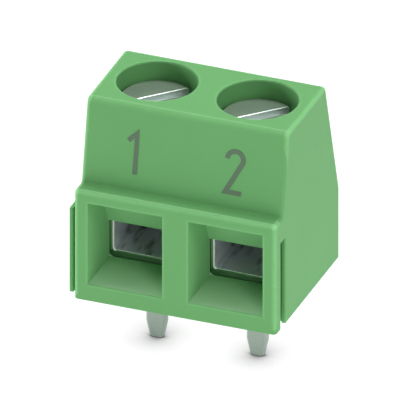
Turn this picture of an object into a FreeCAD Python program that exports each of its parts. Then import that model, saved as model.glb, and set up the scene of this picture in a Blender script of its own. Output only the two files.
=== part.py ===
import FreeCAD, Part
import math
import os

# A two-pole screw terminal for circuit boards, in millimetres.
# The origin is on the board plane, midway between the solder pins. X runs along the poles,
# wires enter from -Y, and the screws are driven from above.

# Poles
pole_count = 2
pole_pitch = 5.08

# Housing seen from the side
front_to_pins = 4.3
housing_depth = 8.4
housing_height = 10.0
ledge_height = 5.85
ledge_depth = 0.9
marking_setback = 0.78
top_depth = 4.96
back_height = 3.76
end_wall = 0.66

# Housing edges
ledge_radius = 0.2
ledge_root_radius = 0.03
brow_radius = 0.35
crest_radius = 0.15
shoulder_radius = 0.15
bottom_radius = 0.03
end_radius = 0.2
entry_radius = 0.08
well_rim_radius = 0.08
curtain_radius = 0.06

# Wire entries
entry_sill = 0.87
entry_lintel = 0.64
mullion = 1.32
ceiling_drop = 0.12
curtain_thickness = 0.15
curtain_lean_deg = 20.0
window_side_lap = 0.19
window_sill_drop = 0.34
window_lintel_drop = 0.28

# Clamp cage, a folded strip with a threaded roof of two layers
cage_inner_width = 2.9
cage_length = 3.9
cage_sheet = 0.4
cage_bend = 0.15
cage_side_clearance = 0.05
cage_end_clearance = 0.07
cage_lap_gap = 0.03
cage_lap_end = 0.12
cage_edge_chamfer = 0.06
collar_wall = 0.35
collar_height = 0.35

# Contact, one folded strip from the current bar to the solder pin
contact_sheet = 0.5
contact_bend = 0.2
bar_side_clearance = 0.1
bar_front_inset = 0.2
leg_gap = 0.5
slot_clearance = 0.04
foot_height = 0.4
foot_side_clearance = 0.1
foot_shoulder = 0.3
foot_edge_radius = 0.2
pin_width = 1.0
pin_edge_chamfer = 0.1
pin_length = 3.7
pin_taper = 0.88
pin_point = 0.08
pin_tip_width = 0.68
pin_tip_thickness = 0.36
pin_point_inset = 0.06

# Heights between the moving pieces
cage_floor_gap = 0.34
wire_gap = 1.94
cage_roof_gap = 0.06
roof_clearance = 0.1

# Snap ridges that hold the foot up
ridge_bite = 0.15
ridge_drop = 0.28
ridge_length = 0.8

# Clamp screw
thread_radius = 1.25
thread_pitch = 0.45
clamp_turns = 4.0
thread_clearance = 0.05
shank_clearance = 0.15
head_radius = 1.8
head_height = 1.0
head_sunk = 0.92
head_chamfer = 0.1
head_clearance = 0.05
well_clearance = 0.14
slot_width = 0.6
slot_depth = 0.6
slot_angle_deg = 45.5
tip_chamfer = 0.25

# Tongue and groove that join blocks side by side
tongue_setback = 0.98
tongue_neck_width = 0.5
tongue_head_width = 0.8
tongue_head_thickness = 0.21
tongue_height = 4.5
tongue_edge_radius = 0.06
tongue_clearance = 0.05
groove_lip = 0.2
groove_top_clearance = 0.12
groove_edge_radius = 0.08

# How far cutting tools reach past the surface that they cut, and how closely edges are matched
overshoot = 1.0
match = 0.001

# Widths that follow
cage_outer_width = cage_inner_width + 2 * cage_sheet
chamber_width = cage_outer_width + 2 * cage_side_clearance
housing_width = (pole_count - 1) * pole_pitch + chamber_width + 2 * end_wall
entry_width = pole_pitch - mullion
window_width = cage_inner_width + 2 * window_side_lap
bar_width = cage_inner_width - 2 * bar_side_clearance
foot_width = chamber_width - 2 * foot_side_clearance

# Places along Y that follow
front = -front_to_pins
back = housing_depth - front_to_pins
chamber_front = -cage_length / 2 - cage_end_clearance
chamber_back = cage_length / 2 + cage_end_clearance
window_front = chamber_front - curtain_thickness
leg_front = cage_length / 2 + leg_gap
leg_back = leg_front + contact_sheet
foot_front = contact_bend + contact_sheet / 2 + foot_shoulder
tongue_middle = front + tongue_setback

# Heights that follow
foot_top = foot_height + contact_sheet
cage_bottom = foot_top + cage_floor_gap
cage_floor = cage_bottom + cage_sheet
bar_bottom = cage_floor + wire_gap
bar_top = bar_bottom + contact_sheet
lap_bottom = bar_top + cage_roof_gap
lap_top = lap_bottom + cage_sheet
cage_top = lap_top + cage_lap_gap + cage_sheet
collar_top = cage_top + collar_height
clamp_travel = clamp_turns * thread_pitch
chamber_roof = collar_top + clamp_travel + roof_clearance
head_top = housing_height - head_sunk
head_bottom = head_top - head_height
well_floor = head_bottom - head_clearance
well_radius = head_radius + well_clearance
entry_top = ledge_height - entry_lintel
window_bottom = cage_floor - window_sill_drop
window_top = bar_bottom - window_lintel_drop


def side_view(x):
    return lambda u, v: FreeCAD.Vector(x, u, v)


def front_view(y):
    return lambda u, v: FreeCAD.Vector(u, y, v)


def top_view(z):
    return lambda u, v: FreeCAD.Vector(u, v, z)


def box(low_x, high_x, low_y, high_y, low_z, high_z):
    corner = FreeCAD.Vector(low_x, low_y, low_z)
    return Part.makeBox(high_x - low_x, high_y - low_y, high_z - low_z, corner)


def upright_cylinder(x, radius, low_z, high_z):
    return Part.makeCylinder(radius, high_z - low_z, FreeCAD.Vector(x, 0, low_z))


def corner_arc(before, corner, after, radius):
    # Start, end and centre of the arc that rounds a corner
    to_before = (before - corner).normalize()
    to_after = (after - corner).normalize()
    half_angle = to_before.getAngle(to_after) / 2
    run = radius / math.tan(half_angle)
    inwards = (to_before + to_after).normalize()
    centre = corner + inwards * (radius / math.sin(half_angle))
    return corner + to_before * run, corner + to_after * run, centre


def line(start, end, place):
    return Part.makeLine(place(start.x, start.y), place(end.x, end.y))


def arc(start, end, centre, place):
    radius = (start - centre).Length
    middle = centre + ((start - centre) + (end - centre)).normalize() * radius
    points = [place(p.x, p.y) for p in (start, middle, end)]
    return Part.Arc(*points).toShape()


def outline_face(corners, place):
    # A face from corners given as (across, up, corner radius)
    points = [FreeCAD.Vector(u, v, 0) for u, v, radius in corners]
    turns = []
    for i, (u, v, radius) in enumerate(corners):
        if radius:
            following = points[(i + 1) % len(points)]
            turns.append(corner_arc(points[i - 1], points[i], following, radius))
        else:
            turns.append((points[i], points[i], None))
    edges = []
    for i, (start, end, centre) in enumerate(turns):
        edges.append(line(turns[i - 1][1], start, place))
        if centre:
            edges.append(arc(start, end, centre, place))
    return Part.Face(Part.Wire(edges))


def strip_face(path, thickness, inner_radius, place):
    # The edge of a folded strip, from the corners of its middle line
    points = [FreeCAD.Vector(u, v, 0) for u, v in path]
    middle_radius = inner_radius + thickness / 2
    bends = [
        corner_arc(points[i - 1], points[i], points[i + 1], middle_radius)
        for i in range(1, len(points) - 1)
    ]
    ends = [(points[0], points[0], None)] + bends + [(points[-1], points[-1], None)]
    edges = []
    caps = []
    for side in (-1, 1):
        reached = None
        for i, (start, end, centre) in enumerate(ends):
            arriving = points[i] - points[i - 1] if i else points[1] - points[0]
            leaving = points[i + 1] - points[i] if i + 1 < len(points) else arriving
            offset_in = FreeCAD.Vector(-arriving.y, arriving.x, 0).normalize()
            offset_out = FreeCAD.Vector(-leaving.y, leaving.x, 0).normalize()
            first = start + offset_in * (side * thickness / 2)
            last = end + offset_out * (side * thickness / 2)
            if reached is None:
                caps.append(first)
            else:
                edges.append(line(reached, first, place))
            if centre:
                edges.append(arc(first, last, centre, place))
            reached = last
        caps.append(reached)
    edges.append(line(caps[0], caps[2], place))
    edges.append(line(caps[1], caps[3], place))
    return Part.Face(Part.Wire(Part.__sortEdges__(edges)))


def edges_inside(shape, low, high):
    # Edges whose two ends lie in a box
    span = FreeCAD.BoundBox(*low, *high)
    span.enlarge(match)
    return [e for e in shape.Edges if all(span.isInside(v.Point) for v in e.Vertexes)]


def pole_positions():
    first = -(pole_count - 1) * pole_pitch / 2
    return [first + i * pole_pitch for i in range(pole_count)]


def housing_shell():
    # The stepped side outline, with a leaning marking face above the ledge
    half_width = housing_width / 2
    corners = [
        (front, 0, 0),
        (front, ledge_height, ledge_radius),
        (front + ledge_depth, ledge_height, ledge_root_radius),
        (front + ledge_depth + marking_setback, housing_height, brow_radius),
        (front + ledge_depth + marking_setback + top_depth, housing_height, crest_radius),
        (back, back_height, shoulder_radius),
        (back, 0, 0),
    ]
    shell = outline_face(corners, side_view(-half_width)).extrude(
        FreeCAD.Vector(housing_width, 0, 0)
    )
    for x in (-half_width, half_width):
        rim = edges_inside(shell, (x, front, 0), (x, back, housing_height))
        rim = [edge for edge in rim if edge.BoundBox.ZMax > match]
        shell = shell.makeFillet(end_radius, rim)
    bottom = edges_inside(shell, (-half_width, front, 0), (half_width, back, 0))
    return shell.makeFillet(bottom_radius, bottom)


def entry_funnel(x):
    # The tapered wire entry: its side outline crossed with its outline from above
    ceiling_back = entry_top - ceiling_drop
    lean = math.tan(math.radians(curtain_lean_deg)) * (ceiling_back - window_top)
    from_side = [
        (front - overshoot, entry_sill, 0),
        (front, entry_sill, 0),
        (chamber_front, window_bottom, 0),
        (chamber_front + overshoot, window_bottom, 0),
        (chamber_front + overshoot, window_top, 0),
        (window_front, window_top, curtain_radius),
        (window_front - lean, ceiling_back, 0),
        (front, entry_top, 0),
        (front - overshoot, entry_top, 0),
    ]
    from_above = [
        (x - entry_width / 2, front - overshoot, 0),
        (x - entry_width / 2, front, 0),
        (x - window_width / 2, chamber_front, 0),
        (x - window_width / 2, chamber_front + overshoot, 0),
        (x + window_width / 2, chamber_front + overshoot, 0),
        (x + window_width / 2, chamber_front, 0),
        (x + entry_width / 2, front, 0),
        (x + entry_width / 2, front - overshoot, 0),
    ]
    side_prism = outline_face(from_side, side_view(x - entry_width)).extrude(
        FreeCAD.Vector(2 * entry_width, 0, 0)
    )
    plan_prism = outline_face(from_above, top_view(0)).extrude(
        FreeCAD.Vector(0, 0, housing_height)
    )
    return side_prism.common(plan_prism)


def clamp_chamber(x):
    # The shaft that the cage rides in, open at the bottom, with a slot for the contact's leg
    shaft = box(
        x - chamber_width / 2,
        x + chamber_width / 2,
        chamber_front,
        chamber_back,
        -overshoot,
        chamber_roof,
    )
    slot_half = bar_width / 2 + slot_clearance
    leg_slot = box(x - slot_half, x + slot_half, 0, leg_back, -overshoot, bar_top)
    return shaft.fuse(leg_slot)


def screw_well(x):
    # The well is turned about the screw's axis, and its profile flares to round the rim
    flare = x + well_radius + 2 * well_rim_radius
    profile = [
        (x, well_floor, 0),
        (x + well_radius, well_floor, 0),
        (x + well_radius, housing_height, well_rim_radius),
        (flare, housing_height, 0),
        (flare, housing_height + overshoot, 0),
        (x, housing_height + overshoot, 0),
    ]
    well = outline_face(profile, front_view(0)).revolve(
        FreeCAD.Vector(x, 0, 0), FreeCAD.Vector(0, 0, 1), 360
    )
    shank_hole_radius = thread_radius + shank_clearance
    shank_hole = upright_cylinder(x, shank_hole_radius, chamber_roof - overshoot, well_floor)
    return well.fuse(shank_hole)


def snap_ridges(x):
    # Two wedges under the edges of the contact's foot
    ridges = []
    wedge_middle = (foot_front + chamber_back) / 2
    low_y = wedge_middle - ridge_length / 2
    for side in (-1, 1):
        wall = x + side * chamber_width / 2
        nose = wall - side * (foot_side_clearance + ridge_bite)
        corners = [
            (wall, foot_height - ridge_drop, 0),
            (nose, foot_height, 0),
            (wall + side * end_wall / 2, foot_height, 0),
            (wall + side * end_wall / 2, foot_height - ridge_drop, 0),
        ]
        wedge = outline_face(corners, front_view(low_y))
        ridges.append(wedge.extrude(FreeCAD.Vector(0, ridge_length, 0)))
    return ridges


def tongue():
    # A headed rail on the left end
    end = -housing_width / 2
    neck_half = tongue_neck_width / 2
    head_half = tongue_head_width / 2
    neck_end = end - groove_lip - tongue_clearance
    head_end = neck_end - tongue_head_thickness
    root = end + end_wall / 2
    neck = box(
        neck_end, root, tongue_middle - neck_half, tongue_middle + neck_half, 0, tongue_height
    )
    head = box(
        head_end, neck_end, tongue_middle - head_half, tongue_middle + head_half, 0, tongue_height
    )
    edges = [edge for edge in head.Edges if edge.BoundBox.ZMax > match]
    head = head.makeFillet(tongue_edge_radius, edges)
    return neck.fuse(head).removeSplitter()


def groove():
    # The slot on the right end that takes the next block's tongue
    end = housing_width / 2
    mouth_half = tongue_neck_width / 2 + tongue_clearance
    pocket_half = tongue_head_width / 2 + tongue_clearance
    pocket_top = tongue_height + groove_top_clearance
    pocket_end = end - groove_lip - tongue_head_thickness - 2 * tongue_clearance
    flare_half = mouth_half + 2 * groove_edge_radius
    mouth_corners = [
        (pocket_end, tongue_middle - mouth_half, 0),
        (end, tongue_middle - mouth_half, groove_edge_radius),
        (end, tongue_middle - flare_half, 0),
        (end + overshoot, tongue_middle - flare_half, 0),
        (end + overshoot, tongue_middle + flare_half, 0),
        (end, tongue_middle + flare_half, 0),
        (end, tongue_middle + mouth_half, groove_edge_radius),
        (pocket_end, tongue_middle + mouth_half, 0),
    ]
    mouth = outline_face(mouth_corners, top_view(-overshoot)).extrude(
        FreeCAD.Vector(0, 0, pocket_top + overshoot)
    )
    pocket = box(
        pocket_end,
        end - groove_lip,
        tongue_middle - pocket_half,
        tongue_middle + pocket_half,
        -overshoot,
        pocket_top,
    )
    return mouth.fuse(pocket)


def round_entry_edges(shape, x):
    low = (x - entry_width / 2, front, entry_sill)
    high = (x + entry_width / 2, front, entry_top)
    return shape.makeFillet(entry_radius, edges_inside(shape, low, high))


def housing():
    body = housing_shell()
    for x in pole_positions():
        for tool in (clamp_chamber(x), screw_well(x), entry_funnel(x)):
            body = body.cut(tool)
    for x in pole_positions():
        body = round_entry_edges(body, x)
    for x in pole_positions():
        for ridge in snap_ridges(x):
            body = body.fuse(ridge)
    return body.fuse(tongue()).cut(groove())


def clamp_cage(x):
    # One strip wound into a box, its ends lapped in the roof and threaded for the screw
    middle_half = (cage_inner_width + cage_sheet) / 2
    lap_middle = lap_bottom + cage_sheet / 2
    roof_middle = cage_top - cage_sheet / 2
    floor_middle = cage_bottom + cage_sheet / 2
    path = [
        (x + cage_inner_width / 2 - cage_lap_end, lap_middle),
        (x - middle_half, lap_middle),
        (x - middle_half, floor_middle),
        (x + middle_half, floor_middle),
        (x + middle_half, roof_middle),
        (x - cage_outer_width / 2 + cage_lap_end, roof_middle),
    ]
    edge_on = strip_face(path, cage_sheet, cage_bend, front_view(-cage_length / 2))
    strip = edge_on.extrude(FreeCAD.Vector(0, cage_length, 0))
    hole_radius = thread_radius + thread_clearance
    collar = upright_cylinder(x, hole_radius + collar_wall, cage_top, collar_top)
    hole = upright_cylinder(x, hole_radius, bar_top, collar_top + overshoot)
    return break_cage_mouth(strip, x).fuse(collar).cut(hole)


def break_cage_mouth(strip, x):
    # The inner edges where the wire goes in are chamfered
    y = -cage_length / 2
    low = (x - cage_inner_width / 2, y, cage_floor)
    high = (x + cage_inner_width / 2, y, bar_top)
    return strip.makeChamfer(cage_edge_chamfer, edges_inside(strip, low, high))


def contact_blank(x):
    # What the folded strip keeps of its full width: bar and leg, the wide foot, the narrow neck
    bar_half = bar_width / 2
    foot_half = foot_width / 2
    neck_half = pin_width / 2
    foot_back = chamber_back - foot_side_clearance
    above_foot = foot_top + contact_bend
    bar = box(x - bar_half, x + bar_half, chamber_front, leg_back, above_foot, bar_top)
    leg = box(x - bar_half, x + bar_half, foot_front, leg_back, foot_height, above_foot)
    foot = box(x - foot_half, x + foot_half, foot_front, foot_back, foot_height, foot_top)
    posts = [e for e in foot.Edges if abs(e.BoundBox.ZLength - contact_sheet) < match]
    foot = foot.makeFillet(foot_edge_radius, posts)
    neck = box(x - neck_half, x + neck_half, chamber_front, foot_front, 0, above_foot)
    return bar.fuse([leg, foot, neck])


def pin_outline(x, z, width, thickness, chamfer):
    # The pin's section, a rectangle with its corners cut
    corners = []
    for across, along in ((1, 1), (-1, 1), (-1, -1), (1, -1)):
        side = (x + across * width / 2, along * (thickness / 2 - chamfer), 0)
        face = (x + across * (width / 2 - chamfer), along * thickness / 2, 0)
        corners += [side, face] if across * along > 0 else [face, side]
    return outline_face(corners, top_view(z)).OuterWire


def solder_pin(x):
    # Below the board plane the pin's edges are chamfered, and its last stretch narrows both ways
    point_width = pin_tip_width - 2 * pin_point_inset
    point_thickness = pin_tip_thickness - 2 * pin_point_inset
    small_chamfer = pin_edge_chamfer * pin_tip_thickness / contact_sheet
    sections = [
        pin_outline(x, 0, pin_width, contact_sheet, pin_edge_chamfer),
        pin_outline(x, pin_taper - pin_length, pin_width, contact_sheet, pin_edge_chamfer),
        pin_outline(x, pin_point - pin_length, pin_tip_width, pin_tip_thickness, small_chamfer),
        pin_outline(x, -pin_length, point_width, point_thickness, small_chamfer),
    ]
    return Part.makeLoft(sections, True, True)


def contact_bar(x):
    # The strip folded back, down, forward under the cage and down again as the pin
    bar_middle = bar_top - contact_sheet / 2
    foot_middle = foot_top - contact_sheet / 2
    path = [
        (-cage_length / 2 + bar_front_inset, bar_middle),
        (leg_back - contact_sheet / 2, bar_middle),
        (leg_back - contact_sheet / 2, foot_middle),
        (0, foot_middle),
        (0, 0),
    ]
    edge_on = strip_face(path, contact_sheet, contact_bend, side_view(x - foot_width / 2))
    sheet = edge_on.extrude(FreeCAD.Vector(foot_width, 0, 0))
    return sheet.common(contact_blank(x)).fuse(solder_pin(x))


def clamp_screw(x):
    # A slotted screw whose tip bears on the current bar
    head = upright_cylinder(x, head_radius, head_bottom, head_top)
    rim = [e for e in head.Edges if abs(e.BoundBox.ZMin - head_top) < match]
    head = head.makeChamfer(head_chamfer, rim)
    shank = upright_cylinder(x, thread_radius, bar_top, head_bottom)
    tip = [e for e in shank.Edges if abs(e.BoundBox.ZMax - bar_top) < match]
    shank = shank.makeChamfer(tip_chamfer, tip)
    slot = box(
        x - 2 * head_radius,
        x + 2 * head_radius,
        -slot_width / 2,
        slot_width / 2,
        head_top - slot_depth,
        head_top + overshoot,
    )
    slot.rotate(FreeCAD.Vector(x, 0, 0), FreeCAD.Vector(0, 0, 1), slot_angle_deg)
    return head.fuse(shank).cut(slot)


def save(shape, node):
    solid = shape.removeSplitter()
    if len(solid.Solids) == 1:
        solid = solid.Solids[0]
    solid.exportStep(os.path.join("parts", node + ".step"))


os.makedirs("parts", exist_ok=True)
save(housing(), "housing")
for number, x in enumerate(pole_positions(), start=1):
    save(clamp_cage(x), f"clamp_cage_{number}")
    save(contact_bar(x), f"contact_bar_{number}")
    save(clamp_screw(x), f"clamp_screw_{number}")
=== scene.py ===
import math

import bmesh
import bpy
from mathutils import Matrix, Vector
from mathutils.bvhtree import BVHTree


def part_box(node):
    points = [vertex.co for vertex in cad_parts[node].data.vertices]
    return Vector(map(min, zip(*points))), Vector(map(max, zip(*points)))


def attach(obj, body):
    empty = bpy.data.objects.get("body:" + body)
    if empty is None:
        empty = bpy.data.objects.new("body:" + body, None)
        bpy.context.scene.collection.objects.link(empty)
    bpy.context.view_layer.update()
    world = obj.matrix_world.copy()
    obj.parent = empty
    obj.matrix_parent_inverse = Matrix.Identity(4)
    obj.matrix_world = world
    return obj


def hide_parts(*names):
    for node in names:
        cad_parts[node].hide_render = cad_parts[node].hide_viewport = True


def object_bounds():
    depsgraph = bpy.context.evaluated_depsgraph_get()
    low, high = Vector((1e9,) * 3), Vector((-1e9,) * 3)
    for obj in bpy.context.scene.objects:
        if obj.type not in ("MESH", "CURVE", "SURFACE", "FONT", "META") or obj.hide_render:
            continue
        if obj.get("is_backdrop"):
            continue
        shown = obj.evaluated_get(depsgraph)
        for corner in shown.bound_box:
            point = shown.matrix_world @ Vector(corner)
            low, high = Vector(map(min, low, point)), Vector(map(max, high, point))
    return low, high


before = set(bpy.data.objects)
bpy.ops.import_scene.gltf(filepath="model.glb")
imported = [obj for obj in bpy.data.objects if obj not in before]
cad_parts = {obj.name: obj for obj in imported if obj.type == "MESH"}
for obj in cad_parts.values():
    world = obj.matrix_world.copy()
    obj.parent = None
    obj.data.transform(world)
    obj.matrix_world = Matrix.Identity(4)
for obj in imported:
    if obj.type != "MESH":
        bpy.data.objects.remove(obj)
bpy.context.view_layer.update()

mm = 0.001
poles = (1, 2)


class Wire:
    # a node's output that can be used in plain sums
    def __init__(self, finish, socket):
        self.finish = finish
        self.socket = socket

    def __add__(self, other):
        return self.finish.maths("ADD", self, other)

    def __sub__(self, other):
        return self.finish.maths("SUBTRACT", self, other)

    def __rsub__(self, other):
        return self.finish.maths("SUBTRACT", other, self)

    def __mul__(self, other):
        return self.finish.maths("MULTIPLY", self, other)

    __radd__ = __add__
    __rmul__ = __mul__


class Finish:
    # the nodes of one material, or of the world
    def __init__(self, name, library=bpy.data.materials):
        self.owner = library.new(name)
        self.owner.use_nodes = True
        self.tree = self.owner.node_tree
        self.tree.nodes.clear()

    def node(self, kind, settings=None, sockets=None, output=0):
        made = self.tree.nodes.new(kind)
        for key, value in (settings or {}).items():
            setattr(made, key, value)
        for key, value in (sockets or {}).items():
            if isinstance(value, Wire):
                self.tree.links.new(value.socket, made.inputs[key])
            else:
                made.inputs[key].default_value = value
        return Wire(self, made.outputs[output]) if len(made.outputs) else None

    def maths(self, operation, first, second, clamp=False):
        settings = {"operation": operation, "use_clamp": clamp}
        return self.node("ShaderNodeMath", settings, {0: first, 1: second})

    def ramp(self, value, steepness):
        # rises with a value, and stays between 0 and 1
        return self.maths("MULTIPLY", value, steepness, clamp=True)

    def above(self, value, limit):
        # 1 where a value is over the limit, else 0
        return self.maths("GREATER_THAN", value, limit)

    def below(self, value, limit):
        return self.maths("LESS_THAN", value, limit)

    def between(self, value, limits):
        low, high = limits
        return self.above(value, low) * self.below(value, high)

    def place(self):
        # the spot on the piece, in millimetres
        spot = self.node("ShaderNodeTexCoord", output="Object")
        return self.node(
            "ShaderNodeVectorMath", {"operation": "SCALE"}, {0: spot, "Scale": 1 / mm}
        )

    def along(self, vector, axis):
        # one coordinate of a place or a direction
        return self.node("ShaderNodeSeparateXYZ", None, {0: vector}, axis)

    def facing(self, axis):
        # 1 where the surface faces along the axis, -1 where it faces the other way
        return self.along(self.node("ShaderNodeNewGeometry", output="True Normal"), axis)

    def stretched(self, place, factors):
        return self.node("ShaderNodeVectorMath", {"operation": "MULTIPLY"}, {0: place, 1: factors})

    def noise(self, place, perMillimetre, detail=2.0):
        sockets = {"Vector": place, "Scale": perMillimetre, "Detail": detail}
        return self.node("ShaderNodeTexNoise", None, sockets)

    def blend(self, share, first, second):
        # a colour Mix node takes its two colours at 6 and 7, and gives the mix at 2
        colours = [value if isinstance(value, Wire) else (*value, 1) for value in (first, second)]
        sockets = {"Factor": share, 6: colours[0], 7: colours[1]}
        return self.node("ShaderNodeMix", {"data_type": "RGBA"}, sockets, 2)

    def brokenEdges(self, radius, samples=6):
        # sharp edges catch light as if they had this radius
        return self.node("ShaderNodeBevel", {"samples": samples}, {"Radius": radius * mm})

    def bump(self, height, depth, normal=None):
        sockets = {"Height": height, "Distance": depth * mm, "Strength": 1.0}
        if normal:
            sockets["Normal"] = normal
        return self.node("ShaderNodeBump", None, sockets)

    def surface(self, sockets):
        shader = self.node("ShaderNodeBsdfPrincipled", None, sockets)
        self.node("ShaderNodeOutputMaterial", None, {"Surface": shader})
        return self.owner


green = {
    "deep": (0.143, 0.386, 0.141),
    "pale": (0.157, 0.410, 0.155),
    # painted highlight: the pale green that thin corners get in place of the light they catch
    "rim": (0.280, 0.660, 0.280),
    # painted light: a paler green over the entries' shaded walls
    "entry": (0.190, 0.455, 0.188),
    # painted sheen: a greyish pale on the entries' sloping floors
    "paintedSheen": (0.36, 0.62, 0.36),
    "cloudsPerMillimetre": 0.35,
    "cloudShare": 0.8,  # the specks give the rest of the mottle
    "specksPerMillimetre": 14.0,
    "roughness": 0.42,
    "roughnessSpread": 0.08,
    "refraction": 1.5,
    "shine": 0.05,
    "edgeRadius": 0.05,
    "sinkDepth": 0.02,
    "grainDepth": 0.0035,
    "rimReach": 0.13,
    "rimSamples": 32,
    "rimStrength": 15.0,
    "innerHighlights": 0.18,  # what is left of a painted edge highlight at the mouths and wells
    "betweenEnds": (-4.65, 4.65),  # from here on, places on the block
    "mouthsAlongWire": (-4.5, -4.15),
    "entriesAlongWire": (-4.15, -1.9),
    "entryHeights": (0.5, 5.5),
    "wellsAlongWire": (-2.3, 2.2),
    "wellHeights": (9.0, 10.5),
    "grooveAcross": (4.3, 5.2),
    "grooveAlongWire": (-3.72, -2.78),
    "tongueStart": -5.12,
    "quietBottom": 0.25,
    "rampFacing": (0.95, 0.995),  # how steeply the entries' floors look up
    "sheenStart": -1.1,
    "sheenLength": 3.2,
}


def paintedHighlights(finish, place):
    # how strong the painted highlight is on each thin corner, and where the walls of the entries
    # are;
    # no corner gets a painted highlight in the entries, on the tongue, by the groove or along the
    # bottom
    across = finish.along(place, "X")
    alongWire = finish.along(place, "Y")
    height = finish.along(place, "Z")
    solid = finish.node(
        "ShaderNodeAmbientOcclusion",
        {"inside": True, "only_local": True, "samples": green["rimSamples"]},
        {"Distance": green["rimReach"] * mm},
        "AO",
    )
    thin = finish.ramp(1.0 - solid, green["rimStrength"])
    middle = finish.between(across, green["betweenEnds"])
    atEntries = finish.between(height, green["entryHeights"])
    mouths = finish.between(alongWire, green["mouthsAlongWire"]) * atEntries
    entries = finish.between(alongWire, green["entriesAlongWire"]) * atEntries
    wellSpan = finish.between(alongWire, green["wellsAlongWire"])
    wells = wellSpan * finish.between(height, green["wellHeights"])
    grooveSpan = finish.between(alongWire, green["grooveAlongWire"])
    groove = grooveSpan * finish.between(across, green["grooveAcross"])
    tongue = finish.below(across, green["tongueStart"])
    ends = finish.maths("MAXIMUM", tongue, groove)
    foot = finish.below(height, green["quietBottom"]) * (1.0 - ends)
    quiet = (mouths + wells) * (1.0 - green["innerHighlights"]) + entries
    return thin * thin * (1.0 - middle * quiet - ends - foot), middle * entries


def sheenShare(finish, place):
    # the share of the entries' sloping floors that gets a painted pale sheen, most at the mouth
    outwards = green["sheenStart"] - finish.along(place, "Y")
    slope = finish.between(finish.facing("Z"), green["rampFacing"])
    return slope * finish.ramp(outwards, 1 / green["sheenLength"])


def mouldedGreen():
    # satin polyamide: slight clouds, a fine eroded grain, softly broken edges and painted edge
    # highlights
    finish = Finish("mouldedGreen")
    place = finish.place()
    clouds = finish.noise(place, green["cloudsPerMillimetre"], detail=3.0)
    specks = finish.noise(place, green["specksPerMillimetre"])
    mottle = clouds * green["cloudShare"] + specks * (1.0 - green["cloudShare"])
    body = finish.blend(mottle, green["deep"], green["pale"])
    rims, entries = paintedHighlights(finish, place)
    # painted highlights on thin corners, then painted light over the entries' walls
    lined = finish.blend(entries, finish.blend(rims, body, green["rim"]), green["entry"])
    waves = finish.bump(clouds, green["sinkDepth"], finish.brokenEdges(green["edgeRadius"]))
    return finish.surface({
        # a painted pale sheen over the entries' sloping floors
        "Base Color": finish.blend(sheenShare(finish, place), lined, green["paintedSheen"]),
        "Roughness": green["roughness"] + (specks - 0.5) * green["roughnessSpread"],
        "Normal": finish.bump(specks, green["grainDepth"], waves),
        "IOR": green["refraction"],
        "Specular IOR Level": green["shine"],
    })


plate = {
    "colour": (0.93, 0.93, 1.00),
    "stain": (0.84, 0.85, 0.95),
    # painted highlight: the near-white, barely metal chamfer round the cage's mouth
    "rim": (0.95, 0.97, 0.95),
    # painted reflection of the green entry on the cut edge, dark as painted shade below the lip,
    # paler above
    "edge": (0.22, 0.30, 0.23),
    "paintedMirrorHigh": (0.46, 0.56, 0.46),
    "streak": (0.15, 0.17, 0.19),
    "metal": 0.42,
    "rimMetal": 0.05,
    "edgeMetal": 1.0,
    "roughness": 0.28,
    "roughnessSpread": 0.1,
    "rimRoughness": 0.45,
    "edgeRoughness": 0.14,
    "cloudsPerMillimetre": 0.7,
    "drawnPerMillimetre": 2.2,
    "drawnStretch": (1.0, 0.22, 0.22),
    "drawnDepth": 0.0012,
    "streakLevel": 0.53,
    "streakSharpness": 6.0,
    "lipHeight": 0.38,
    "chamferFacing": (-0.95, -0.3),  # a cut edge faces further forwards than its chamfer
    "lipFacing": 0.3,  # the floor's lip looks up by more than this
}


def platedSteel(bottom):
    # plated strip with dark rolling streaks; its cut edge is a painted reflection of the green
    # entry,
    # with painted shade below the lip, and the chamfer round its mouth is a near-white painted
    # highlight:
    # all of it at the jambs, the upper half on the lip of the floor, which starts at the given
    # bottom
    finish = Finish("platedSteel")
    place = finish.place()
    drawn = finish.noise(
        finish.stretched(place, plate["drawnStretch"]), plate["drawnPerMillimetre"]
    )
    clouds = finish.noise(place, plate["cloudsPerMillimetre"])
    height = finish.along(place, "Z")
    lip = bottom + plate["lipHeight"]
    frontwards = finish.facing("Y")
    chamfer = finish.between(frontwards, plate["chamferFacing"])
    under = finish.above(finish.facing("Z"), plate["lipFacing"]) * finish.below(height, lip)
    rim = chamfer * (1.0 - under)
    edge = finish.below(frontwards, plate["chamferFacing"][0]) + chamfer * under
    face = 1.0 - rim - edge
    streaks = finish.ramp(drawn - plate["streakLevel"], plate["streakSharpness"])
    clean = finish.blend(clouds, plate["stain"], plate["colour"])
    sheet = finish.blend(streaks, clean, plate["streak"])
    # the cut edge's painted reflection, with painted shade below the top of the floor's lip
    paintedMirror = finish.blend(finish.above(height, lip), plate["edge"], plate["paintedMirrorHigh"])
    cut = finish.blend(edge, sheet, paintedMirror)
    worn = face * (plate["roughness"] + drawn * plate["roughnessSpread"])
    return finish.surface({
        "Base Color": finish.blend(rim, cut, plate["rim"]),
        "Metallic": face * plate["metal"] + rim * plate["rimMetal"] + edge * plate["edgeMetal"],
        "Roughness": worn + rim * plate["rimRoughness"] + edge * plate["edgeRoughness"],
        "Normal": finish.bump(drawn, plate["drawnDepth"]),
    })


tin = {
    "colour": (0.385, 0.455, 0.405),
    "stain": (0.335, 0.40, 0.355),
    "metal": 0.3,
    "roughness": 0.36,
    "roughnessSpread": 0.16,
    "crystalsPerMillimetre": 3.0,
    "grainPerMillimetre": 22.0,
    "grainDepth": 0.002,
    "edgeRadius": 0.05,
}


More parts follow.
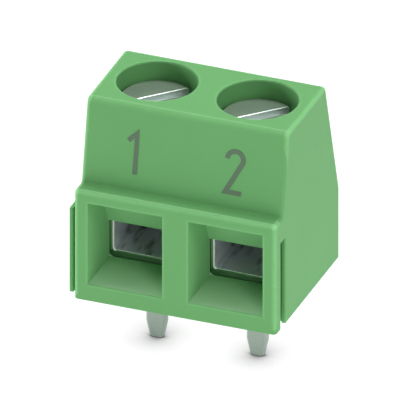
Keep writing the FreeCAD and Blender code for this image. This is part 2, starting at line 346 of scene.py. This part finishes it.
def dullTin():
    # matt tin over brass, cloudy, with a fine grain
    finish = Finish("dullTin")
    place = finish.place()
    clouds = finish.noise(place, tin["crystalsPerMillimetre"], detail=4.0)
    grain = finish.noise(place, tin["grainPerMillimetre"])
    return finish.surface({
        "Base Color": finish.blend(clouds, tin["stain"], tin["colour"]),
        "Metallic": tin["metal"],
        "Roughness": tin["roughness"] + clouds * tin["roughnessSpread"],
        "Normal": finish.bump(grain, tin["grainDepth"], finish.brokenEdges(tin["edgeRadius"])),
    })


turned = {
    # dark and green-tinted: painted shade of the well and a painted reflection of its green walls
    "colour": (0.156, 0.216, 0.159),
    "stain": (0.132, 0.187, 0.135),
    "metal": 0.14,
    "shine": 0.12,
    "roughness": 0.40,
    "roughnessSpread": 0.08,
    "ringsPerMillimetre": 7.0,
    "ringDepth": 0.0012,
    "spotsPerMillimetre": 1.2,
}


def turnedSteel():
    # plated screw with the rings that a lathe leaves about its axis
    finish = Finish("turnedSteel")
    place = finish.place()
    flat = finish.stretched(place, (1.0, 1.0, 0.0))
    reach = finish.node("ShaderNodeVectorMath", {"operation": "LENGTH"}, {0: flat}, "Value")
    rings = finish.node(
        "ShaderNodeTexNoise",
        {"noise_dimensions": "1D"},
        {"W": reach, "Scale": turned["ringsPerMillimetre"], "Detail": 3.0},
    )
    spots = finish.noise(place, turned["spotsPerMillimetre"], detail=3.0)
    return finish.surface({
        "Base Color": finish.blend(spots, turned["stain"], turned["colour"]),
        "Metallic": turned["metal"],
        "Specular IOR Level": turned["shine"],
        "Roughness": turned["roughness"] + rings * turned["roughnessSpread"],
        "Normal": finish.bump(rings, turned["ringDepth"]),
    })


sawn = {
    "colour": (0.80, 0.87, 0.84),
    "stain": (0.68, 0.75, 0.72),
    # painted shade: the slot's floor is darker than its walls
    "floor": (0.30, 0.34, 0.32),
    "metal": 0.85,
    "roughness": 0.26,
    "roughnessSpread": 0.10,
    "streaksPerMillimetre": 5.0,
    "streakStretch": (0.04, 1.0, 1.0),
    "streakDepth": 0.0002,
    "floorFacing": 0.98,
}


def sawnSteel(slotAngle):
    # the slot's bright walls and its floor darkened as painted shade, streaked along the cut
    finish = Finish("sawnSteel")
    place = finish.node(
        "ShaderNodeVectorRotate",
        {"rotation_type": "Z_AXIS"},
        {"Vector": finish.place(), "Angle": -math.radians(slotAngle)},
    )
    stretched = finish.stretched(place, sawn["streakStretch"])
    streaks = finish.noise(stretched, sawn["streaksPerMillimetre"], detail=3.0)
    walls = finish.blend(streaks, sawn["stain"], sawn["colour"])
    level = finish.above(finish.facing("Z"), sawn["floorFacing"])
    return finish.surface({
        "Base Color": finish.blend(level, walls, sawn["floor"]),
        "Metallic": sawn["metal"],
        "Roughness": sawn["roughness"] + streaks * sawn["roughnessSpread"],
        "Normal": finish.bump(streaks, sawn["streakDepth"]),
    })


ink = {
    "dark": (0.078, 0.138, 0.080),
    "faint": (0.100, 0.168, 0.100),
    "patchesPerMillimetre": 6.0,
    "roughness": 0.5,
    "roughnessSpread": 0.15,
}


def markingInk():
    # grey-green print, a little uneven
    finish = Finish("markingInk")
    patches = finish.noise(finish.place(), ink["patchesPerMillimetre"], detail=3.0)
    return finish.surface({
        "Base Color": finish.blend(patches, ink["dark"], ink["faint"]),
        "Roughness": ink["roughness"] + patches * ink["roughnessSpread"],
    })


def dress(name, material):
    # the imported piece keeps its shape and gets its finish
    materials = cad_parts[name].data.materials
    materials.clear()
    materials.append(material)


def meshPiece(name, build, material, location=(0, 0, 0)):
    # build is a bmesh in millimetres about the piece's own origin
    bmesh.ops.scale(build, vec=(mm, mm, mm), verts=build.verts)
    bmesh.ops.recalc_face_normals(build, faces=build.faces)
    mesh = bpy.data.meshes.new(name)
    build.to_mesh(mesh)
    build.free()
    mesh.materials.append(material)
    piece = bpy.data.objects.new(name, mesh)
    piece.location = Vector(location) * mm
    bpy.context.scene.collection.objects.link(piece)
    return piece


def joinRings(build, rings):
    # walls from each ring of points to the next, and a face over each end
    for lower, upper in zip(rings, rings[1:]):
        for i in range(len(lower)):
            following = (i + 1) % len(lower)
            build.faces.new((lower[i], lower[following], upper[following], upper[i]))
    build.faces.new(rings[0])
    build.faces.new(rings[-1])


screw = {
    "threadPitch": 0.45,
    "threadDepth": 0.26,
    "crestShare": 0.16,
    "rootShare": 0.24,
    "tipChamfer": 0.25,
    "neckLength": 0.35,
    "shankRadius": 1.25,
    "headHeight": 1.0,
    "headEdge": 0.1,
    "underHeadEdge": 0.08,
    "slotWidth": 0.6,
    "slotDepth": 0.6,
    "slotAngle": 45.5,
    "slotEdge": 0.035,
    "slotRoot": 0.06,
    "cutterRise": 0.5,  # how far the slot's cutter stands above the head
    "smoothBelow": 30,  # facets that meet at a smaller angle, in degrees, look round
    "cornerSteps": 3,
    "roundSteps": 96,
    "rowsPerTurn": 12,
}


def threadRadius(turn, height, length):
    # radius of the threaded shank at a share of a turn and a height above the tip
    crest = screw["crestShare"] / 2
    root = screw["rootShare"] / 2
    phase = (height / screw["threadPitch"] - turn) % 1.0
    away = min(phase, 1.0 - phase)
    rise = min(1.0, max(0.0, (0.5 - root - away) / (0.5 - root - crest)))
    fade = min(1.0, max(0.0, (length - screw["neckLength"] - height) / screw["threadPitch"]))
    cut = screw["threadDepth"] * (1.0 - rise) * fade
    cone = screw["shankRadius"] - screw["tipChamfer"] + height
    return min(screw["shankRadius"] - cut, cone)


def screwRing(build, radiusAt, height):
    # one turn of points about the screw's axis
    steps = screw["roundSteps"]
    ring = []
    for i in range(steps):
        angle = 2 * math.pi * i / steps
        radius = radiusAt(i / steps)
        ring.append(build.verts.new((radius * math.cos(angle), radius * math.sin(angle), height)))
    return ring


def quarterTurn(first, last, centre):
    # the points of a rounded corner, from the first to the last about its centre
    points = []
    for i in range(screw["cornerSteps"] + 1):
        angle = math.pi / 2 * i / screw["cornerSteps"]
        points.append([
            middle + (start - middle) * math.cos(angle) + (end - middle) * math.sin(angle)
            for start, end, middle in zip(first, last, centre)
        ])
    return points


def screwBody(low, high, headRadius):
    # the threaded shank from the tip up, then the head with its rounded edges
    under = screw["underHeadEdge"]
    edge = screw["headEdge"]
    headBottom = high - screw["headHeight"]
    length = headBottom - low
    rows = int(length / screw["threadPitch"] * screw["rowsPerTurn"])
    build = bmesh.new()
    rings = []
    for row in range(rows + 1):
        height = length * row / rows
        rings.append(
            screwRing(build, lambda turn: threadRadius(turn, height, length), low + height)
        )
    head = quarterTurn(
        (headRadius - under, headBottom),
        (headRadius, headBottom + under),
        (headRadius - under, headBottom + under),
    ) + quarterTurn(
        (headRadius, high - edge),
        (headRadius - edge, high),
        (headRadius - edge, high - edge),
    )
    for radius, height in head:
        rings.append(screwRing(build, lambda turn: radius, height))
    joinRings(build, rings)
    return build


def slotCutter(headTop, reach):
    # the slot's section, with rounded lips and roots, pushed through the head
    half = screw["slotWidth"] / 2
    edge = screw["slotEdge"]
    root = screw["slotRoot"]
    floor = headTop - screw["slotDepth"]
    side = quarterTurn(
        (half - root, floor), (half, floor + root), (half - root, floor + root)
    ) + quarterTurn(
        (half, headTop - edge), (half + edge, headTop), (half + edge, headTop - edge)
    )
    side.append((half + edge, headTop + screw["cutterRise"]))
    section = side + [(-across, height) for across, height in reversed(side)]
    build = bmesh.new()
    turn = Matrix.Rotation(math.radians(screw["slotAngle"]), 3, "Z")
    ends = []
    for along in (-reach, reach):
        points = [turn @ Vector((along, across, height)) for across, height in section]
        ends.append([build.verts.new(point) for point in points])
    joinRings(build, ends)
    return build


def cutSlot(piece, cutter):
    modifier = piece.modifiers.new("slot", "BOOLEAN")
    modifier.operation = "DIFFERENCE"
    modifier.solver = "EXACT"
    modifier.material_mode = "TRANSFER"
    modifier.object = cutter
    bpy.context.view_layer.objects.active = piece
    bpy.ops.object.modifier_apply(modifier=modifier.name)
    bpy.data.objects.remove(cutter)


def shadeByAngle(piece, degrees):
    for polygon in piece.data.polygons:
        polygon.use_smooth = True
    build = bmesh.new()
    build.from_mesh(piece.data)
    for edge in build.edges:
        edge.smooth = edge.is_manifold and edge.calc_face_angle() < math.radians(degrees)
    build.to_mesh(piece.data)
    build.free()


def clampScrew(number, material, slotMaterial):
    node = f"clamp_screw_{number}"
    low, high = (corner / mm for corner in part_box(node))
    centre = ((low.x + high.x) / 2, 0, 0)
    headRadius = (high.x - low.x) / 2
    body = screwBody(low.z, high.z, headRadius)
    piece = meshPiece(f"clampScrew{number}", body, material, centre)
    slot = slotCutter(high.z, 2 * headRadius)
    cutSlot(piece, meshPiece("slotCutter", slot, slotMaterial, centre))
    shadeByAngle(piece, screw["smoothBelow"])
    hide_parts(node)
    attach(piece, f"screw_{number}")


marking = {
    "height": 2.3,
    "width": 1.05,
    "stroke": 0.245,
    "thickness": 0.012,
    "middleHeight": 7.65,
    "stemShift": 0.25,  # of the 1's stem to the right, in half widths
    "flagReach": 1.05,  # of its flag to the left, in half widths
    "flagDrop": 0.42,
    "arcStart": 180,  # of the 2's bow, in degrees
    "arcSweep": 215,
    "arcSteps": 14,
    "sharpestMitre": 0.45,  # keeps a sharp corner from running out to a spike
    "rayStart": -20,  # well in front of the housing
}


def figureStrokes(figure):
    # the middle lines of a plain upright figure, about its own centre
    tall = marking["height"] - marking["stroke"]
    half = (marking["width"] - marking["stroke"]) / 2
    top = tall / 2
    if figure == 1:
        stem = marking["stemShift"] * half
        flag = (stem - marking["flagReach"] * half, top - marking["flagDrop"])
        return [[flag, (stem, top), (stem, -top)]]
    arc = []
    for i in range(marking["arcSteps"] + 1):
        swept = marking["arcSweep"] * i / marking["arcSteps"]
        angle = math.radians(marking["arcStart"] - swept)
        arc.append((half * math.cos(angle), top - half + half * math.sin(angle)))
    return [arc + [(-half, -top), (half, -top)]]


def ribbon(build, path, width, thickness):
    # a flat stroke of even width, its corners mitred
    points = [Vector(point) for point in path]
    rings = []
    for i, point in enumerate(points):
        before = (point - points[i - 1]).normalized() if i else (points[1] - point).normalized()
        after = (points[i + 1] - point).normalized() if i + 1 < len(points) else before
        across = Vector((-(before + after).y, (before + after).x)).normalized()
        mitre = max(marking["sharpestMitre"], across.dot(Vector((-after.y, after.x))))
        reach = width / 2 / mitre
        ring = []
        for side, level in ((-1, 0), (1, 0), (1, thickness), (-1, thickness)):
            spot = point + across * (side * reach)
            ring.append(build.verts.new((spot.x, spot.y, level)))
        rings.append(ring)
    joinRings(build, rings)


def poleNumber(number, material, surface):
    # the figure lies on the marking face, over the middle of its screw
    low, high = (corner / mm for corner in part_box(f"clamp_screw_{number}"))
    middle = (low.x + high.x) / 2
    start = Vector((middle, marking["rayStart"], marking["middleHeight"])) * mm
    spot, facing = surface.ray_cast(start, Vector((0, 1, 0)))[:2]
    build = bmesh.new()
    for path in figureStrokes(number):
        ribbon(build, path, marking["stroke"], marking["thickness"])
    piece = meshPiece(f"poleNumber{number}", build, material)
    across = Vector((1, 0, 0))
    axes = Matrix((across, facing.cross(across), facing)).transposed().to_4x4()
    piece.matrix_world = Matrix.Translation(spot) @ axes
    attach(piece, "housing")


view = {
    "azimuth": 21.06,
    "elevation": 28.70,
    "pixelsPerMillimetre": 21.204,
    "imageWidth": 408,
    "aim": (-0.158, -0.061, 3.876),
    "distance": 200,
    "nearest": 1,
    "farthest": 10000,
}


def photoCamera():
    # a parallel view, as the photograph's is
    turn = math.radians(view["azimuth"])
    rise = math.radians(view["elevation"])
    back = Vector((
        math.sin(turn) * math.cos(rise),
        -math.cos(turn) * math.cos(rise),
        math.sin(rise),
    ))
    camera = bpy.data.objects.new("photoCamera", bpy.data.cameras.new("photoCamera"))
    camera.data.type = "ORTHO"
    camera.data.ortho_scale = view["imageWidth"] / view["pixelsPerMillimetre"] * mm
    camera.data.clip_start = view["nearest"] * mm
    camera.data.clip_end = view["farthest"] * mm
    camera.location = (Vector(view["aim"]) + back * view["distance"]) * mm
    camera.rotation_euler = (math.pi / 2 - rise, 0, turn)
    bpy.context.scene.collection.objects.link(camera)
    bpy.context.scene.camera = camera


studio = {
    "domeLevel": 0.0,  # what the dome adds to the lamps' light
    "lampDistance": 300,
    "lampSize": 110,
    "lamps": {  # how bright each makes a white surface that faces it, and where it shines from
        "backTopLight": (0.77, (0.00, 0.35, 0.94)),
        "frontTopLight": (0.18, (0.00, -0.35, 0.94)),
        "rightTopLight": (0.13, (0.45, -0.50, 0.75)),
        "rightLight": (0.23, (0.85, -0.10, 0.50)),
        "frontLight": (0.12, (0.65, -0.70, 0.15)),
        "leftLight": (0.60, (-0.97, -0.20, 0.15)),
    },
    "floorHalf": 400,
    "floorGlow": 1.04,
    "floorShade": 0.12,
    "floorBounce": (0.92, 0.92, 0.92),
    "floorLight": 0.46,
    "haloReach": 2.3,
    "haloSamples": 16,
    "haloDepth": 1.6,
    "haloDarkest": 0.10,
}


def seenDirectly(finish):
    # 1 for rays that show the surface itself, its mirror image or the view through glass
    camera, mirror, glass = (
        finish.node("ShaderNodeLightPath", output=f"Is {kind} Ray")
        for kind in ("Camera", "Glossy", "Transmission")
    )
    return finish.maths("ADD", camera + mirror, glass, clamp=True)


def paleFloor():
    # white to the eye, with a painted contact shadow close round what touches it;
    # what it throws back on the object comes from a pale grey that glows a little
    finish = Finish("paleFloor")
    clear = finish.node(
        "ShaderNodeAmbientOcclusion",
        {"samples": studio["haloSamples"]},
        {"Distance": studio["haloReach"] * mm},
        "AO",
    )
    shade = 1.0 - (1.0 - clear) * studio["haloDepth"]
    paintedContactShadow = finish.maths("MAXIMUM", shade, studio["haloDarkest"])
    lit = finish.node("ShaderNodeBsdfDiffuse", None, {"Color": paintedContactShadow * studio["floorShade"]})
    glow = finish.node("ShaderNodeEmission", None, {"Strength": paintedContactShadow * studio["floorGlow"]})
    shown = finish.node("ShaderNodeAddShader", None, {0: lit, 1: glow})
    paper = finish.node("ShaderNodeBsdfDiffuse", None, {"Color": (*studio["floorBounce"], 1)})
    spare = finish.node("ShaderNodeEmission", None, {"Strength": studio["floorLight"]})
    bounce = finish.node("ShaderNodeAddShader", None, {0: paper, 1: spare})
    sockets = {0: seenDirectly(finish), 1: bounce, 2: shown}
    mixed = finish.node("ShaderNodeMixShader", None, sockets)
    finish.node("ShaderNodeOutputMaterial", None, {"Surface": mixed})
    build = bmesh.new()
    half = studio["floorHalf"]
    corners = [(-half, -half), (half, -half), (half, half), (-half, half)]
    build.faces.new([build.verts.new((x, y, 0)) for x, y in corners])
    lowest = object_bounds()[0][2] / mm
    meshPiece("paleFloor", build, finish.owner, (0, 0, lowest))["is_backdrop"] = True


def whiteDome():
    # white to the eye and in reflections, whatever light it gives
    finish = Finish("whiteDome", bpy.data.worlds)
    level = studio["domeLevel"] + seenDirectly(finish) * (1.0 - studio["domeLevel"])
    sockets = {"Color": (1, 1, 1, 1), "Strength": level}
    shown = finish.node("ShaderNodeBackground", None, sockets)
    finish.node("ShaderNodeOutputWorld", None, {"Surface": shown})
    bpy.context.scene.world = finish.owner


def softLight(name, level, direction):
    # the power grows with the square of the distance, so that the level stays
    distance = studio["lampDistance"] * mm
    light = bpy.data.lights.new(name, "AREA")
    light.shape = "DISK"
    light.energy = level * (math.pi * distance) ** 2
    light.size = studio["lampSize"] * mm
    lamp = bpy.data.objects.new(name, light)
    away = Vector(direction).normalized()
    lamp.location = Vector(view["aim"]) * mm + away * distance
    lamp.rotation_euler = away.to_track_quat("Z", "Y").to_euler()
    bpy.context.scene.collection.objects.link(lamp)


photoCamera()
whiteDome()
paleFloor()
for name, (level, direction) in studio["lamps"].items():
    softLight(name, level, direction)
print("stage, lights and camera are set")

dress("housing", mouldedGreen())
print("housing is dressed")

cageSteel = platedSteel(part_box("clamp_cage_1")[0].z / mm)
contactTin = dullTin()
screwSteel = turnedSteel()
slotSteel = sawnSteel(screw["slotAngle"])
for pole in poles:
    dress(f"clamp_cage_{pole}", cageSteel)
    dress(f"contact_bar_{pole}", contactTin)
    clampScrew(pole, screwSteel, slotSteel)
print("cages, contacts and screws are dressed")

numberInk = markingInk()
housingSurface = BVHTree.FromObject(
    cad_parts["housing"], bpy.context.evaluated_depsgraph_get()
)
for pole in poles:
    poleNumber(pole, numberInk, housingSurface)
print("pole numbers are printed")

bpy.context.scene.view_settings.view_transform = "Standard"
bpy.context.view_layer.update()
